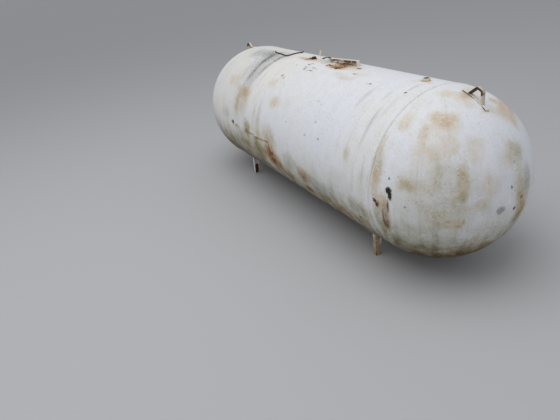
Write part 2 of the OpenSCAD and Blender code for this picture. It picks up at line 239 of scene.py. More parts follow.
class Mixer:
    """Short calls for the nodes of one tree."""

    def __init__(self, tree):
        self.tree = tree
        self.family = tree.bl_idname.removesuffix("Tree")

    def node(self, kind, settings=None, **inputs):
        """A new node; an underscore in an input's name stands for a space."""
        made = self.tree.nodes.new(kind if "Node" in kind else self.family + kind)
        for name, setting in (settings or {}).items():
            setattr(made, name, setting)
        for name, value in inputs.items():
            feed(made.inputs[name.replace("_", " ")], value)
        return made

    def of(self, kind, settings=None, output=0, **inputs):
        """A new node's output, as a value."""
        return Value(self.tree, self.node(kind, settings, **inputs).outputs[output])

    def vector(self, x, y, z):
        return self.of("ShaderNodeCombineXYZ", X=x, Y=y, Z=z)

    def apart(self, vector):
        made = self.node("ShaderNodeSeparateXYZ", Vector=vector)
        return [Value(self.tree, socket) for socket in made.outputs]

    def noise(self, vector, scale, detail=4.0, roughness=0.55, coloured=False):
        return self.of(
            "ShaderNodeTexNoise", output=1 if coloured else 0, Vector=vector, Scale=scale,
            Detail=detail, Roughness=roughness,
        )

    def step(self, value, low, high, bottom=0.0, top=1.0):
        """A soft step from bottom to top while the value goes from low to high."""
        settings = {"interpolation_type": "SMOOTHSTEP", "clamp": False}
        return self.of(
            "MapRange", settings, Value=value, From_Min=low, From_Max=high, To_Min=bottom, To_Max=top
        )

    def blend(self, factor, under, over, way="MIX"):
        made = self.node("Mix", {"data_type": "RGBA", "blend_type": way})
        feed(made.inputs[0], factor)
        feed(made.inputs[6], under)
        feed(made.inputs[7], over)
        return Value(self.tree, made.outputs[2])

    def ramp(self, value, stops):
        """A colour ramp through the given (place, colour) stops."""
        made = self.node("ValToRGB", Fac=value)
        ends = made.color_ramp.elements
        ends.remove(ends[1])
        ends[0].position, ends[0].color = stops[0]
        for place, colour in stops[1:]:
            ends.new(place).color = colour
        return Value(self.tree, made.outputs[0])

    def group(self, group, **inputs):
        """Places a group in the tree, feeds its named inputs and gives its outputs."""
        made = self.node("Group", {"node_tree": group}, **inputs)
        return {socket.name: Value(self.tree, socket) for socket in made.outputs}

    def chance(self, low, high, seed):
        """A random number for each point, from a fixed seed."""
        made = self.node("FunctionNodeRandomValue", Seed=seed)
        feed(made.inputs[2], low)
        feed(made.inputs[3], high)
        return Value(self.tree, made.outputs[1])


def count(name, tree):
    print(name, "has", len(tree.nodes), "nodes")


def new_group(name, inputs, outputs, kind="ShaderNodeTree"):
    """An empty group with named sockets: the group, its mixer, its inputs and what it gives."""
    group = bpy.data.node_groups.new(name, kind)
    for way, sockets in (("INPUT", inputs), ("OUTPUT", outputs)):
        for socket, sort in sockets.items():
            group.interface.new_socket(name=socket, in_out=way, socket_type="NodeSocket" + sort)
    entry = group.nodes.new("NodeGroupInput")
    given = {socket.name: Value(group, socket) for socket in entry.outputs}
    return group, Mixer(group), given, group.nodes.new("NodeGroupOutput").inputs


# %% [markdown]
# Rain writes on a tank along its fall lines. On the cylinder they are hoops, and on a round
# head they are meridians from its highest point. This group turns a point into the two lengths
# that a painter would measure with a tape: along the tank, and down from the crown. The head is
# unrolled round its upright axis, so that the first length runs on past the girth seam.

# %% Group: place on the tank
JUST_PAST_THE_SEAM = 0.0005

place_group, mix, given, result = new_group(
    "place_on_tank", dict(Point="Vector"), dict(Place="Vector", Fall="Float", Depth="Float")
)
x, y, z = mix.apart(given["Point"])
level = z - axis_height
outward = most(abs(x) - seam_place, 0.0)
on_head = outward.worked("GREATER_THAN", outward, JUST_PAST_THE_SEAM)
keep_body = 1.0 - on_head
side = sign(x)
to_front = -y
past_seam = angle_of(outward, to_front) * tank_radius
along_head = side * (past_seam + seam_place)
ratio = least(most(level / tank_radius, -1.0), 1.0)
depth = ratio.worked("ARCCOSINE", ratio) * tank_radius
along = x * keep_body + along_head * on_head
down = depth * sign(to_front) * keep_body + depth * on_head
fold = angle_of(outward, abs(y)) * tank_radius
fall = x * keep_body + side * (fold + seam_place) * on_head
feed(result["Place"], mix.vector(along, down, 0.0))
feed(result["Fall"], fall)
feed(result["Depth"], depth)
count("place on the tank", place_group)

# %% [markdown]
# One stain is a soft oval on the unrolled plate. A noise shifts its edge, so that it is ragged as
# a real stain is. Runs are ovals too, only narrow and tall.

# %% Group: stain
stain_group, mix, given, result = new_group(
    "stain",
    dict(Place="Vector", Shake="Float", Centre="Vector", Size="Vector", Soft="Float", Torn="Float"),
    dict(Mask="Float"),
)
off = (given["Place"] - given["Centre"]) / given["Size"]
oval = mix.of("VectorMath", {"operation": "LENGTH"}, 1, Vector=off)
reach = given["Shake"] * given["Torn"] + oval
feed(result["Mask"], mix.step(reach, 1.0 - given["Soft"], 1.0, 1.0, 0.0))
count("stain", stain_group)

# %% [markdown]
# Streaks are noise that is stretched down the fall lines: many changes along the tank, few down
# it. The same group serves the plate and the welds.

# %% Group: rain streaks
streak_group, mix, given, result = new_group(
    "rain_streaks",
    dict(Point="Vector", Fall="Float", Fineness="Float", Low="Float", High="Float"),
    dict(Mask="Float"),
)
y, z = mix.apart(given["Point"])[1:]
stretched = mix.vector(given["Fall"] * given["Fineness"], y * 2.2, z * 2.2)
pattern = mix.noise(stretched, 1.0, 5.0, 0.6)
feed(result["Mask"], mix.step(pattern, given["Low"], given["High"]))
count("rain streaks", streak_group)

# %% [markdown]
# The tones of the finish, as they look under a dull sky. Stains are laid on as thin washes, so
# their tones are the colour of a wash over white. Places and sizes of stains are written in
# millimetres and their strengths in percent, since short whole numbers are easier to correct.

# %% Tones
MM = 1000
PERCENT = 100

COOL_WHITE = tone(236, 238, 244)
CHALK_WHITE = tone(238, 235, 229)
WARM_WHITE = tone(226, 219, 205)
CREAM = tone(216, 208, 190)
GRIME = tone(121, 123, 122)
BELLY_DIRT_AND_SHADE = tone(116, 108, 92)
DULL_BROWN = tone(132, 112, 96)
BELLY_RUST = tone(188, 150, 104)
MOSS = tone(190, 186, 144)
TAN = tone(206, 172, 128)
PEACH = tone(205, 176, 150)
ORANGE = tone(170, 104, 56)
BROWN = tone(100, 60, 38)
SCALE = tone(44, 34, 29)
PRIMER = tone(142, 146, 148)
WHITE_WASH = (1, 1, 1, 1)
THIN_RUST = tone(246, 235, 218)
LIGHT_RUST = tone(232, 204, 172)
FULL_RUST = tone(190, 144, 100)
DEEP_RUST = tone(134, 84, 54)
BLACK_RUST = tone(62, 44, 36)
print("cool white in linear light:", [round(part, 3) for part in COOL_WHITE[:3]])

# %% [markdown]
# The tank's finish is one big group, because the plate and the welds both wear it. It
# begins with the places: the tape-measure place is shaken twice, once broadly and once finely, so
# that no stain keeps the outline of its oval.

# %% Tank finish: ground
HALF = (0.5, 0.5, 0.5)
BROAD_SHAKE = (0.070, 0.070, 0.0)
FINE_SHAKE = (0.030, 0.030, 0.0)
TINY_SHAKE = (0.012, 0.012, 0.0)

finish_group, paint, given, result = new_group(
    "tank_finish", dict(Point="Vector"), dict(Colour="Color", Roughness="Float", Height="Float")
)
point = given["Point"]
spot = paint.group(place_group, Point=point)
cloud = paint.noise(point, 5.5, 3.0, coloured=True) - HALF
tear = paint.noise(point, 36.0, 4.0, 0.6, coloured=True) - HALF
place = spot["Place"] + (cloud * BROAD_SHAKE + tear * FINE_SHAKE)
exact_place = spot["Place"] + tear * TINY_SHAKE

speck = paint.noise(point, 84.0, 5.0, 0.72)
shake = speck - 0.5
blotch = paint.step(paint.noise(point, 15.0, 6.0, 0.66), 0.36, 0.66)
fleck = paint.step(speck, 0.43, 0.60)
broad = paint.noise(point, 1.9, 3.0)

from_middle = paint.apart(point)[0]
left_half = paint.step(from_middle, -0.75, 0.35, 0.55, 0.0)
off_the_end = paint.step(from_middle, -1.30, -0.80, 0.3, 1.0)
drifting = paint.step(broad, 0.36, 0.66) * 0.55
colour = paint.blend(limited(left_half * off_the_end + drifting), COOL_WHITE, CHALK_WHITE)


def stain(along, down, wide, tall, soft=0.72, torn=1.5, exact=False):
    """The mask of one stain: its place along the tank and down from the crown, and its size."""
    centre = (along / MM, down / MM, 0)
    where = exact_place if exact else place
    size = (wide / MM, tall / MM, 1)
    return paint.group(
        stain_group, Place=where, Shake=shake, Centre=centre, Size=size, Soft=soft, Torn=torn
    )["Mask"]


def gather(rows, **looks):
    """Adds up stains: rows of along, down, wide and tall in millimetres, strength in percent."""
    total = 0.0
    for along, down, wide, tall, strength in rows:
        mask = stain(along, down, wide, tall, **looks)
        total = mask.worked("MULTIPLY_ADD", mask, strength / PERCENT, total)
    return total


# %% [markdown]
# Rust shows through thin paint as a tan haze, then as orange, and as brown where the steel lies
# open. So all rust is first added up to one level, which is broken up by blotches and flecks, and
# only then turned to colour by a ramp. Where two stains meet they deepen each other, as real ones.
# Each row gives a place on the plate, a width and a height, and a strength, judged one by one.

# %% Rust on the right head
head_rust = [
    (1455, 292, 160, 70, 19), (1380, 285, 80, 50, 6), (1530, 325, 90, 70, 7), (1328, 375, 56, 60, 14),
    (1440, 370, 190, 130, 5), (1485, 430, 70, 70, 11), (1360, 470, 110, 90, 7), (1624, 465, 80, 80, 9),
    (1290, 613, 85, 55, 13), (1380, 615, 90, 60, 4), (1543, 590, 42, 120, 19), (1530, 690, 60, 90, 4),
    (1685, 640, 80, 90, 10), (1632, 722, 70, 44, 13), (1428, 560, 80, 140, 3), (1433, 775, 100, 85, 8),
    (1510, 822, 80, 45, 13), (1162, 322, 80, 72, 12), (1780, 160, 220, 60, 15),
    (1420, 600, 280, 340, 2.5), (2150, 350, 300, 85, 28), (1920, 310, 90, 45, 12),
    (1990, 158, 300, 60, 16), (1527, 110, 290, 50, 11), (1832, 520, 110, 95, 10),
    (1866, 710, 55, 130, 17), (1900, 810, 70, 100, 30), (1560, 1095, 240, 65, 36),
    (1300, 1085, 120, 60, 24), (1720, 1055, 100, 75, 26), (1640, 960, 80, 50, 10),
    (1554, 735, 40, 30, 12), (1540, 1000, 80, 30, 20), (2020, 410, 60, 60, 13), (2055, 268, 80, 35, 22),
    (1577, 602, 40, 40, 7), (1804, 291, 50, 30, 8), (1740, 224, 80, 40, 8), (1500, 665, 40, 50, 7),
]

# %% [markdown]
# The seam of the right head collects dirty water: between the bead and the clean plate lies a
# tan wedge that widens as it goes down, and below it a chip has bled a long dull run.

# %% Rust at the right seam
seam_rust = [
    (1076, 460, 28, 80, 15), (1090, 580, 45, 110, 12), (1092, 650, 55, 70, 15), (1112, 730, 50, 50, 16),
    (1112, 762, 24, 20, 46), (1172, 800, 34, 120, 22), (1150, 880, 40, 80, 18), (1000, 860, 60, 120, 6),
    (1150, 725, 30, 50, 18), (1136, 770, 26, 50, 14),
]

# %% [markdown]
# Rust on the cylinder. The crown round the lost hood is the worst place: standing water has lifted
# the paint off there. Lower down, a scratch bleeds along its whole length, and the rows with a
# great depth are the wet fringe along the belly.

# %% Rust on the cylinder
body_rust = [
    (208, 5, 110, 80, 50), (236, 55, 85, 42, 40), (180, -60, 110, 50, 60), (270, -45, 80, 50, 14),
    (260, -20, 110, 60, 12), (110, 52, 50, 20, 34), (150, 60, 70, 36, 26), (350, 20, 110, 60, 10),
    (420, 150, 110, 30, 12), (435, 89, 40, 16, 24), (-180, 10, 70, 45, 40), (-270, 20, 90, 36, 18),
    (-70, 0, 100, 60, 15), (-200, 268, 22, 12, 34), (-166, 278, 20, 12, 34), (-235, 345, 55, 60, 10),
    (-75, 462, 100, 60, 19), (-566, 462, 150, 70, 27), (-640, 560, 80, 110, 17), (-520, 550, 90, 110, 11),
    (-815, 412, 110, 65, 13), (-640, 745, 70, 30, 30), (-105, 790, 110, 90, 26), (-75, 862, 170, 110, 58),
    (-290, 775, 60, 30, 22), (-480, 860, 140, 70, 16), (-330, 700, 110, 50, 8), (345, 860, 100, 85, 36),
    (350, 965, 110, 50, 46), (100, 940, 130, 60, 34), (560, 975, 160, 60, 32), (750, 970, 110, 60, 34),
    (920, 965, 100, 60, 22), (-280, 900, 160, 60, 16), (-890, 885, 160, 60, 12), (828, 575, 50, 60, 10),
    (940, -10, 80, 30, 26), (650, 150, 40, 12, 16), (-100, 710, 170, 100, 8), (-240, 735, 70, 60, 14),
    (15, 745, 60, 60, 7), (487, 87, 90, 50, 8),
]

# %% [markdown]
# Scratches and runs are narrow, so they keep closer to their line than the broad stains do.

# %% Thin runs
thin_rust = [
    (-385, 748, 80, 12, 40), (-280, 757, 60, 14, 50), (-190, 752, 50, 12, 40), (-125, 746, 40, 10, 46),
    (-98, 700, 8, 70, 24), (-90, 790, 14, 60, 40), (-65, 885, 60, 45, 16), (-230, 41, 60, 12, 34),
    (-455, 742, 36, 22, 34), (1480, 800, 24, 12, 14), (1530, 830, 26, 10, 18), (1552, 806, 9, 20, 20),
    (217, 78, 26, 14, 34), (245, 70, 26, 12, 30),
]
rust_level = gather(head_rust) + gather(seam_rust)
rust_level = rust_level + gather(body_rust)
print("rust stains:", len(head_rust + seam_rust + body_rust + thin_rust))

# %% [markdown]
# The photograph doesn't show the back, nor the left end. They have stood in the same rain, so they
# get the same three kinds of stain, but from noise: one coloured noise holds three patterns that
# don't follow each other. The mask keeps them off the sides where the stains were read one by one.

# %% Stains on the sides out of sight
along, down = paint.apart(spot["Place"])[:2]
behind = paint.step(down, -0.16, -0.34)
right_back = paint.step(along, 2.22, 2.45)
left_end = paint.step(along, -1.35, -1.60)
hidden = most(most(right_back, left_end), behind)
hidden = hidden * paint.step(spot["Depth"], 0.10, 0.34)
patterns = paint.apart(paint.noise(point, 4.2, 5.0, 0.62, coloured=True))
hidden_rust = hidden * paint.step(patterns[0], 0.52, 0.70)
hidden_olive = hidden * paint.step(patterns[1], 0.50, 0.68)
hidden_grime = hidden * paint.step(patterns[2], 0.46, 0.66)
rust_level = hidden_rust * 0.42 + rust_level

# %% All rust together
broken = blotch * 0.45 + (fleck * 0.62 + 0.43)
haze = blotch * fleck * 0.035
rust_level = rust_level * broken + haze
rust_level = limited(rust_level + gather(thin_rust, exact=True, torn=0.9))
wash = paint.ramp(rust_level, [
    (0.0, WHITE_WASH), (0.12, THIN_RUST), (0.32, LIGHT_RUST),
    (0.55, FULL_RUST), (0.76, DEEP_RUST), (1.0, BLACK_RUST),
])
colour = paint.blend(1.0, colour, wash, "MULTIPLY")

# %% [markdown]
# The run below the chip and the seam's own line aren't orange: iron water has dried grey-brown
# there, darkest at its two edges. On the crown, the row under the hood's rail is grey-brown
# painted shade there together with rust.

# %% Dull brown runs, and painted shade under the rail
brown_runs_and_rail_shade = gather([
    (1170, 800, 30, 120, 80), (1150, 840, 12, 110, 130), (1184, 752, 10, 45, 150),
    (1168, 875, 26, 55, 100), (1136, 932, 30, 30, 70), (1061, 430, 5, 70, 60), (1060, 570, 5.5, 130, 80),
    # The row at 170 along and 10 down is painted shade under the rail, together with its rust.
    (1036, 655, 6, 70, 50), (170, 10, 90, 30, 50), (105, 52, 34, 14, 80),
], exact=True, torn=1.2, soft=0.9)
brown_runs_and_rail_shade = limited(brown_runs_and_rail_shade * (fleck * 0.5 + 0.45))
colour = paint.blend(brown_runs_and_rail_shade, colour, DULL_BROWN, "MULTIPLY")

# %% [markdown]
# Algae tint the damp places olive: the whole middle of the head faintly, its bottom and its far
# rim strongly, and low on the sides where dew stays longest.

# %% Olive growth
olive = gather([
    (1440, 700, 320, 310, 40), (1390, 890, 200, 120, 26), (1260, 985, 120, 90, 60),
    (1520, 1000, 200, 60, 26), (1543, 600, 50, 140, 30), (1530, 720, 55, 90, 26), (1287, 620, 80, 50, 36),
    (1425, 560, 30, 120, 30), (1870, 530, 110, 85, 60), (1870, 710, 75, 140, 60),
    (1880, 860, 90, 100, 80), (1094, 590, 55, 150, 50), (1110, 830, 60, 130, 80),
    (1240, 850, 110, 110, 24), (1720, 850, 130, 110, 34), (990, 700, 60, 120, 26),
    (780, 800, 220, 140, 26), (480, 820, 260, 120, 34), (650, 930, 260, 70, 60), (950, 900, 120, 100, 46),
    (828, 575, 50, 70, 34), (-440, 725, 70, 100, 150), (-255, 630, 50, 150, 60), (-330, 600, 30, 120, 30),
    (-290, 835, 150, 110, 150), (-560, 840, 160, 120, 40), (1343, 1001, 100, 40, 70),
    (-80, 740, 160, 150, 50), (60, 440, 90, 60, 10), (340, 120, 110, 30, 26), (1845, 285, 30, 22, 90),
    (-600, 900, 300, 80, 40), (100, 900, 200, 70, 50), (1940, 680, 50, 110, 55), (300, 850, 300, 60, 30),
    (1660, 760, 50, 50, 30), (1480, 735, 50, 50, 30), (200, 800, 120, 80, 44), (910, 850, 90, 80, 34),
], torn=2.0)
speckled = blotch * 0.35 + (fleck * 0.36 + 0.38)
olive = hidden_olive * 0.55 + olive
olive = limited(olive * speckled)
colour = paint.blend(olive, colour, MOSS, "MULTIPLY")

# %% [markdown]
# Grey streaks: fine ones everywhere, broad ones on the left, where dirt washes down from the bent
# rod on the crown, and single hoop-wise runs on the right half of the cylinder.

# %% Streaks and grime
fine_streaks = paint.group(
    streak_group, Point=point, Fall=spot["Fall"], Fineness=52.0, Low=0.48, High=0.80
)["Mask"]
broad_streaks = paint.group(
    streak_group, Point=point, Fall=spot["Fall"], Fineness=14.0, Low=0.40, High=0.72
)["Mask"]
left_grime = gather([
    (-640, 120, 130, 140, 46), (-620, 230, 90, 140, 30), (-595, 350, 70, 110, 30),
    (-580, 60, 240, 120, 40), (-620, 300, 180, 260, 26), (-540, 260, 90, 220, 26),
    (-620, 540, 170, 180, 24), (-840, 680, 110, 70, 36), (420, 940, 260, 80, 36),
    (-400, 820, 360, 130, 30), (1470, 700, 280, 260, 5), (-1150, 780, 240, 180, 20),
    (-900, 350, 400, 400, 10), (-870, 90, 150, 120, 50), (-760, 80, 160, 120, 36),
    (500, 870, 340, 75, 40), (1000, 870, 60, 80, 30), (1930, 700, 50, 120, 24), (200, 805, 120, 70, 28),
    (910, 850, 90, 80, 28),
], torn=2.0)
sharp_grime = gather([
    (-488, 80, 44, 110, 34), (-490, 190, 40, 120, 30), (-505, 270, 36, 120, 20), (-600, 300, 20, 120, 20),
    (-645, 540, 20, 110, 16), (-560, 560, 14, 100, 16), (-420, 300, 18, 140, 12), (-680, 80, 60, 60, 20),
    (300, 0, 100, 40, 20), (-250, 500, 12, 160, 10),
], exact=True, torn=1.7)
runs = gather([
    (915, 400, 22, 170, 26), (728, 240, 30, 140, 22), (870, 200, 18, 80, 18), (952, 90, 16, 80, 26),
    (905, 320, 10, 100, 16), (985, 620, 20, 120, 16), (955, 270, 16, 140, 12), (905, 680, 20, 120, 10),
], exact=True, torn=1.1, soft=1.0)
left_grime = hidden_grime * 0.50 + left_grime
grime = left_grime * (broad_streaks * 0.6 + 0.45)
grime = grime + (sharp_grime + runs)
grime = fine_streaks * 0.10 + grime
dust = paint.step(paint.noise(point, 150.0, 3.0, 0.8), 0.44, 0.66)
grime = dust * 0.11 + grime
grime = limited(blotch * fleck * 0.08 + grime)
colour = paint.blend(grime, colour, GRIME, "MULTIPLY")

# %% [markdown]
# Mud splash and damp darken the belly all round, in three bands that overlap raggedly: olive
# first, then rust-brown, and at the very bottom plain dark dirt that is also painted shade.

# %% Underside dirt and painted shade
ragged = broad_streaks * 0.08 + shake * 0.22
ragged_depth = ragged + spot["Depth"]
ragged_depth = left_half * 0.14 + ragged_depth
patchy = blotch * 0.5 + 0.35
damp = paint.step(ragged_depth, 0.80, 1.06) * patchy
colour = paint.blend(damp, colour, MOSS, "MULTIPLY")
rusty_belly = paint.step(ragged_depth, 0.96, 1.16) * patchy
colour = paint.blend(rusty_belly, colour, BELLY_RUST, "MULTIPLY")
# The lowest band is dirt and painted shade: it darkens the belly towards the bottom.
belly_dirt_and_shade = paint.step(ragged_depth, 0.82, 1.22)
colour = paint.blend(belly_dirt_and_shade * 0.80, colour, BELLY_DIRT_AND_SHADE, "MULTIPLY")

# %% [markdown]
# Chips: small places where the paint has gone and dark scale shows. Their edges are crisp. A few
# more specks than the eye can count come from a noise that is cut high.

# %% Chips
big_chips = gather([
    (1186, 669, 21, 23, 100), (1196, 694, 15, 28, 100), (1098, 746, 16, 14, 90), (1112, 764, 12, 14, 90),
    (-708, 729, 32, 20, 90), (1832, 800, 13, 13, 80),
], exact=True, soft=0.5, torn=1.6)
small_chips = gather([
    (1182, 610, 7, 8, 70), (1151, 583, 6, 8, 30), (953, 148, 13, 9, 80), (659, 147, 15, 8, 80),
    (538, 567, 8, 13, 70), (390, 576, 18, 10, 30), (385, 358, 16, 7, 26), (430, 372, 12, 7, 26),
    (462, 480, 12, 9, 36), (140, 548, 18, 8, 20), (375, 10, 26, 14, 80), (435, 89, 18, 7, 50),
    (-46, 157, 18, 14, 60), (-62, 134, 24, 10, 55), (-76, 100, 30, 9, 60), (-59, 84, 24, 8, 50),
    (23, 126, 24, 11, 55), (33, 158, 30, 9, 60), (0, 167, 16, 7, 40), (60, 130, 16, 7, 34),
    (-187, 137, 18, 9, 30), (-200, 266, 16, 7, 50), (-164, 280, 16, 8, 40), (-86, 327, 16, 6, 24),
    (1276, 736, 8, 7, 50), (1799, 679, 10, 14, 70), (1876, 754, 14, 9, 80), (925, 930, 18, 9, 80),
    (820, 950, 20, 8, 60), (-185, 8, 36, 16, 90), (105, 50, 26, 9, 70), (300, -20, 16, 10, 80),
    (1480, 806, 6, 6, 30), (-636, 742, 16, 10, 50), (217, 78, 14, 6, 50), (245, 68, 14, 6, 50),
], exact=True, soft=0.6, torn=1.4)
crown_scale = gather([
    (164, -27, 50, 36, 100), (190, 16, 70, 26, 90), (180, -55, 80, 36, 100), (225, 45, 60, 24, 60),
    (240, -20, 70, 40, 40), (110, 55, 40, 14, 70), (-180, 4, 50, 30, 90),
], exact=True, torn=1.8)
flaking = paint.step(paint.noise(point, 60.0, 5.0, 0.7), 0.47, 0.58) * 0.60
deep_chips = limited(crown_scale * flaking + big_chips)
pepper = paint.step(paint.noise(point, 58.0, 3.0, 0.5), 0.70, 0.76)
chips = limited(pepper * 0.45 + (deep_chips + small_chips))
colour = paint.blend(chips, colour, SCALE)
primer_chip = stain(1737, 782, 34, 27, soft=0.5, torn=2.0, exact=True)
colour = paint.blend(primer_chip * 0.75, colour, PRIMER)

# %% [markdown]
# The surface: dull, rougher where it is chalky or rusty, and sunk at the deep chips. Fine grain
# keeps it from looking like plastic. The relief is kept to a few masks, because a bump works out
# its height three times over, and a tree that is too large renders black.

# %% Tank finish: surface
grain = paint.noise(point, 210.0, 4.0, 0.7)
rough = paint.step(broad, 0.3, 0.7, 0.50, 0.66)
rough = limited(rust_level * 0.25 + rough)
lift = fleck * 0.08 + (grain * 0.14 + blotch * 0.12) - big_chips
feed(result["Colour"], colour)
feed(result["Roughness"], rough)
feed(result["Height"], lift)
count("tank finish", finish_group)

# %% [markdown]
# Every finish ends the same way: a colour and a roughness for the shader, and a bump made from a
# height. One helper does this last step, so that each material cell shows only what is its own.


# %% Helper: a new material and its surface
def new_material(name):
    """An empty node material: the material, its mixer and the point on the piece."""
    material = bpy.data.materials.new(name)
    material.use_nodes = True
    mixer = Mixer(material.node_tree)
    return material, mixer, mixer.of("TexCoord").other("Object")


def surface(mixer, colour, rough, height, depth, specular=0.3, strength=0.6):
    """Feeds the shader; depth is how deep the relief is, in metres."""
    shader = mixer.tree.nodes["Principled BSDF"]
    bump = mixer.of("Bump", Height=height, Strength=strength, Distance=depth)
    feed(shader.inputs["Base Color"], colour)
    feed(shader.inputs["Roughness"], rough)
    feed(shader.inputs["Normal"], bump)
    feed(shader.inputs["Specular IOR Level"], specular)


tank_paint, paint, point = new_material("tank_paint")
finish = paint.group(finish_group, Point=point)
surface(paint, finish["Colour"], finish["Roughness"], finish["Height"], depth=0.0016)

# %% [markdown]
# The weld beads wear the same paint, but dirt has settled in their ripples. A fine noise stands
# for that and dulls the seam. Their relief is that noise alone: the ripples are modelled.

# %% Weld paint
weld_paint, paint, point = new_material("weld_paint")
finish = paint.group(finish_group, Point=point)
settled = paint.step(paint.noise(point, 46.0, 5.0, 0.7), 0.36, 0.64)
dulled = settled * 0.22 + 0.04
colour = paint.blend(dulled, finish["Colour"], PEACH, "MULTIPLY")
surface(paint, colour, finish["Roughness"], settled, depth=0.0004)

# %% [markdown]
# Small steel pieces were painted once with the tank and have lost more of it. This group gives
# them a paint that flakes off to rust. Its Bare input says how much steel is open at a point, so
# that each piece can be worn where its own shape wears: edges, folds, or one side.

# %% Group: worn steel
worn_group, mix, given, result = new_group(
    "worn_steel",
    dict(Point="Vector", Bare="Float", Paint="Color", Rust="Color"),
    dict(Colour="Color", Roughness="Float", Height="Float"),
)
coarse = mix.noise(given["Point"], 42.0, 5.0, 0.66)
fine = mix.noise(given["Point"], 170.0, 5.0, 0.72)
tiny = mix.noise(given["Point"], 520.0, 3.0, 0.6)
uneven = coarse * 0.6 + fine * 0.4
edge = uneven + (given["Bare"] - 0.5)
bare = mix.step(edge, 0.44, 0.56)
near_rust = mix.step(edge, 0.22, 0.50)
soiled = mix.blend(near_rust * 0.75, given["Paint"], LIGHT_RUST, "MULTIPLY")
soiled = mix.blend(mix.step(fine, 0.45, 0.70) * 0.30, soiled, GRIME, "MULTIPLY")
rust_tone = mix.blend(mix.step(fine, 0.38, 0.66), SCALE, given["Rust"])
rust_tone = mix.blend(mix.step(tiny, 0.56, 0.70) * 0.45, rust_tone, ORANGE)
pitting = fine * (bare * 0.9 + 0.25)
feed(result["Colour"], mix.blend(bare, soiled, rust_tone))
feed(result["Roughness"], bare * 0.24 + 0.60)
feed(result["Height"], bare * -0.5 + pitting)
count("worn steel", worn_group)

# %% [markdown]
# The lifting lugs look dark from the front and pale on top: rain runs down their faces, and rust
# starts on the side that dries last. Their faces that look down are also darkened, as painted
# shade. The slope of each face, its normal, tells top from side, so a material can follow that
# without any drawn seam.


# %% Helper: which way a face looks
def facing(mixer):
    """The three parts of the surface's direction: along the tank, to the back, and up."""
    return mixer.apart(mixer.of("NewGeometry").other("Normal"))


def worn_material(name, bare, paint_tone, rust_tone, depth=0.0008):
    """A worn steel finish; bare is a number or a function of the mixer and the point."""
    material, mixer, point = new_material(name)
    amount = bare(mixer, point) if callable(bare) else bare
    shade = paint_tone(mixer, point) if callable(paint_tone) else paint_tone
    finish = mixer.group(worn_group, Point=point, Bare=amount, Paint=shade, Rust=rust_tone)
    surface(mixer, finish["Colour"], finish["Roughness"], finish["Height"], depth)
    count(name, material.node_tree)
    return material


OUTER_FOOT = (1.262, 1.276)
FOOT_LEVEL = (0.995, 0.980)
SHOULDER_LEVEL = (0.980, 0.992)


def lug_wear_and_shade(mixer, point):
    """Worn in front, and darker below as painted shade; the outer foot has kept its paint, its shoulder
    has not.
    """
    back_way, up_way = facing(mixer)[1:]
    front = mixer.step(-back_way, 0.15, 0.75)
    under = mixer.step(-up_way, 0.1, 0.6)
    x, z = mixer.apart(point)[::2]
    outer = mixer.step(abs(x), *OUTER_FOOT)
    outer_low = outer * mixer.step(z, *FOOT_LEVEL)
    shoulder = outer * mixer.step(z, *SHOULDER_LEVEL)
    # Faces that look down are darkened as painted shade; the front is rust.
    dark = most(front, under * 0.9)
    kept = outer_low * -0.72 + 1.0
    wear_and_shade = dark * kept * 0.56 + 0.17
    return shoulder * 0.26 + wear_and_shade


lug_paint = worn_material("lug_paint", lug_wear_and_shade, CREAM, tone(104, 76, 56))

# %% [markdown]
# The straps under the loops are painted like the head, except along their edges and at their two
# ends, where water stands against them. Their side faces are darkened also as painted shade.

# %% Strap paint
UPPER_END = (1.270, 1.215)
LOWER_END = (1.296, 1.312)


def strap_wear_and_shade(mixer, point):
    """Worn along its edges, darkened there also as painted shade, and at its two ends."""
    # The side faces are darkened with rust and painted shade.
    sideways = mixer.step(abs(facing(mixer)[1]), 0.5, 0.9)
    from_middle = abs(mixer.apart(point)[0])
    upper_end = mixer.step(from_middle, *UPPER_END)
    lower_end = mixer.step(from_middle, *LOWER_END)
    shared = most(upper_end, lower_end) * 0.55 + 0.45
    wear_and_shade = sideways * shared * 0.42 + 0.15
    return upper_end * 0.12 + wear_and_shade


strap_paint = worn_material("strap_paint", strap_wear_and_shade, tone(228, 222, 214), tone(84, 62, 46))

# %% [markdown]
# The legs: thin paint over a warm primer, tan where it has weathered through. The folds of the
# plate rusted first, as paint is thinnest on a sharp bend. Where a face looks partly along and
# partly across the tank it belongs to a fold, so the product of the two directions finds it.

# %% Leg paint
SPLASH_LEVEL = (0.050, 0.0)
INSIDE_LEVEL = (0.085, 0.070)
PRIMER_LEVEL = (0.050, 0.105)


def leg_wear_and_shade(mixer, point):
    """Worn at the folds and near the ground; low on the inside, dark with rust and painted shade."""
    along_way, back_way = facing(mixer)[:2]
    fold = mixer.step(abs(along_way * back_way), 0.12, 0.45)
    x, z = mixer.apart(point)[::2]
    low = mixer.step(z, *SPLASH_LEVEL, 0.0, 0.22)
    inside = mixer.step(-(along_way * sign(x)), 0.3, 0.8)
    # Low on the inboard faces the dark is rust and painted shade.
    rust_and_shade_inside = inside * mixer.step(z, *INSIDE_LEVEL, 0.0, 0.60)
    at_folds = fold * 0.26 + 0.16
    return at_folds + most(low, rust_and_shade_inside)


def leg_tone(mixer, point):
    """Primer near the ground, white in patches above it and on the left pair of legs."""
    x, z = mixer.apart(point)[::2]
    patch = mixer.step(mixer.noise(point, 26.0, 4.0), 0.40, 0.58)
    upper = mixer.step(z, *PRIMER_LEVEL) * patch
    left_side = mixer.step(x, 0.2, -0.2)
    return mixer.blend(most(upper, left_side), tone(176, 152, 130), CHALK_WHITE)


leg_paint = worn_material("leg_paint", leg_wear_and_shade, leg_tone, tone(120, 74, 44))

# %% [markdown]
# The pads lie in the wet dark below the tank, under mud splash. The hood's post and tab still have
# their white; the rail has kept it on top only, its upright side is rust and painted shade.

